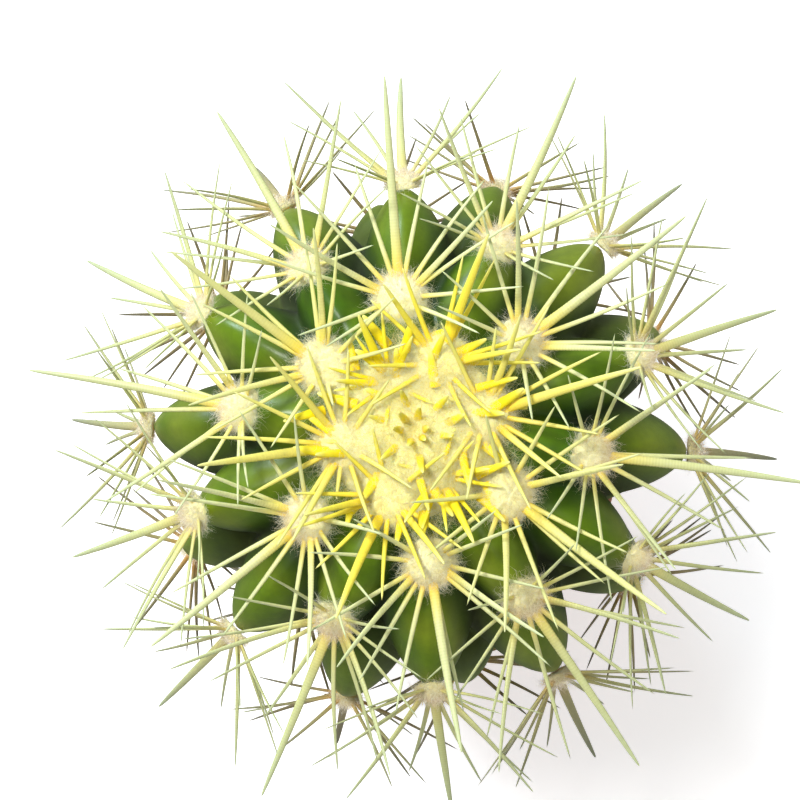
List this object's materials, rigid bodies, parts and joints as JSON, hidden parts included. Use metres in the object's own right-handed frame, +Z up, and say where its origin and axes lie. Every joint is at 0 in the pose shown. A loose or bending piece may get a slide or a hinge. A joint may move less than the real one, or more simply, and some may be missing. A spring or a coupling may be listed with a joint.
{
  "type": "potted round cactus",
  "caption": "Round ribbed cactus with woolly areoles and long stiff spines, growing in a small plain clay pot.",
  "frame": {"origin": "middle of the pot's flat base, on the surface that it stands on", "axes": "+Z up along the pot's and the plant's axis; X and Y level"},
  "size_m": [0.1044, 0.1028, 0.1228],
  "materials": {
    "clay": "matte",
    "soil": "matte",
    "skin": "satin",
    "wool": "matte",
    "spines": "satin"
  },
  "bodies": {
    "root": {"pot": "clay", "soil": "soil", "cactus_body": "skin", "crown": "wool", "areole_01": "spines", "areole_02": "spines", "areole_03": "spines", "areole_04": "spines", "areole_05": "spines", "areole_06": "spines", "areole_07": "spines", "areole_08": "spines", "areole_09": "spines", "areole_10": "spines", "areole_11": "spines", "areole_12": "spines", "areole_13": "spines", "areole_14": "spines", "areole_15": "spines", "areole_16": "spines", "areole_17": "spines", "areole_18": "spines", "areole_19": "spines", "areole_20": "spines", "areole_21": "spines", "areole_22": "spines", "areole_23": "spines", "areole_24": "spines", "areole_25": "spines", "areole_26": "spines", "areole_27": "spines", "areole_28": "spines", "areole_29": "spines", "areole_30": "spines", "areole_31": "spines", "areole_32": "spines", "areole_33": "spines", "areole_34": "spines", "areole_35": "spines", "areole_36": "spines", "areole_37": "spines", "areole_38": "spines", "areole_39": "spines", "areole_40": "spines"}
  },
  "joints": []
}
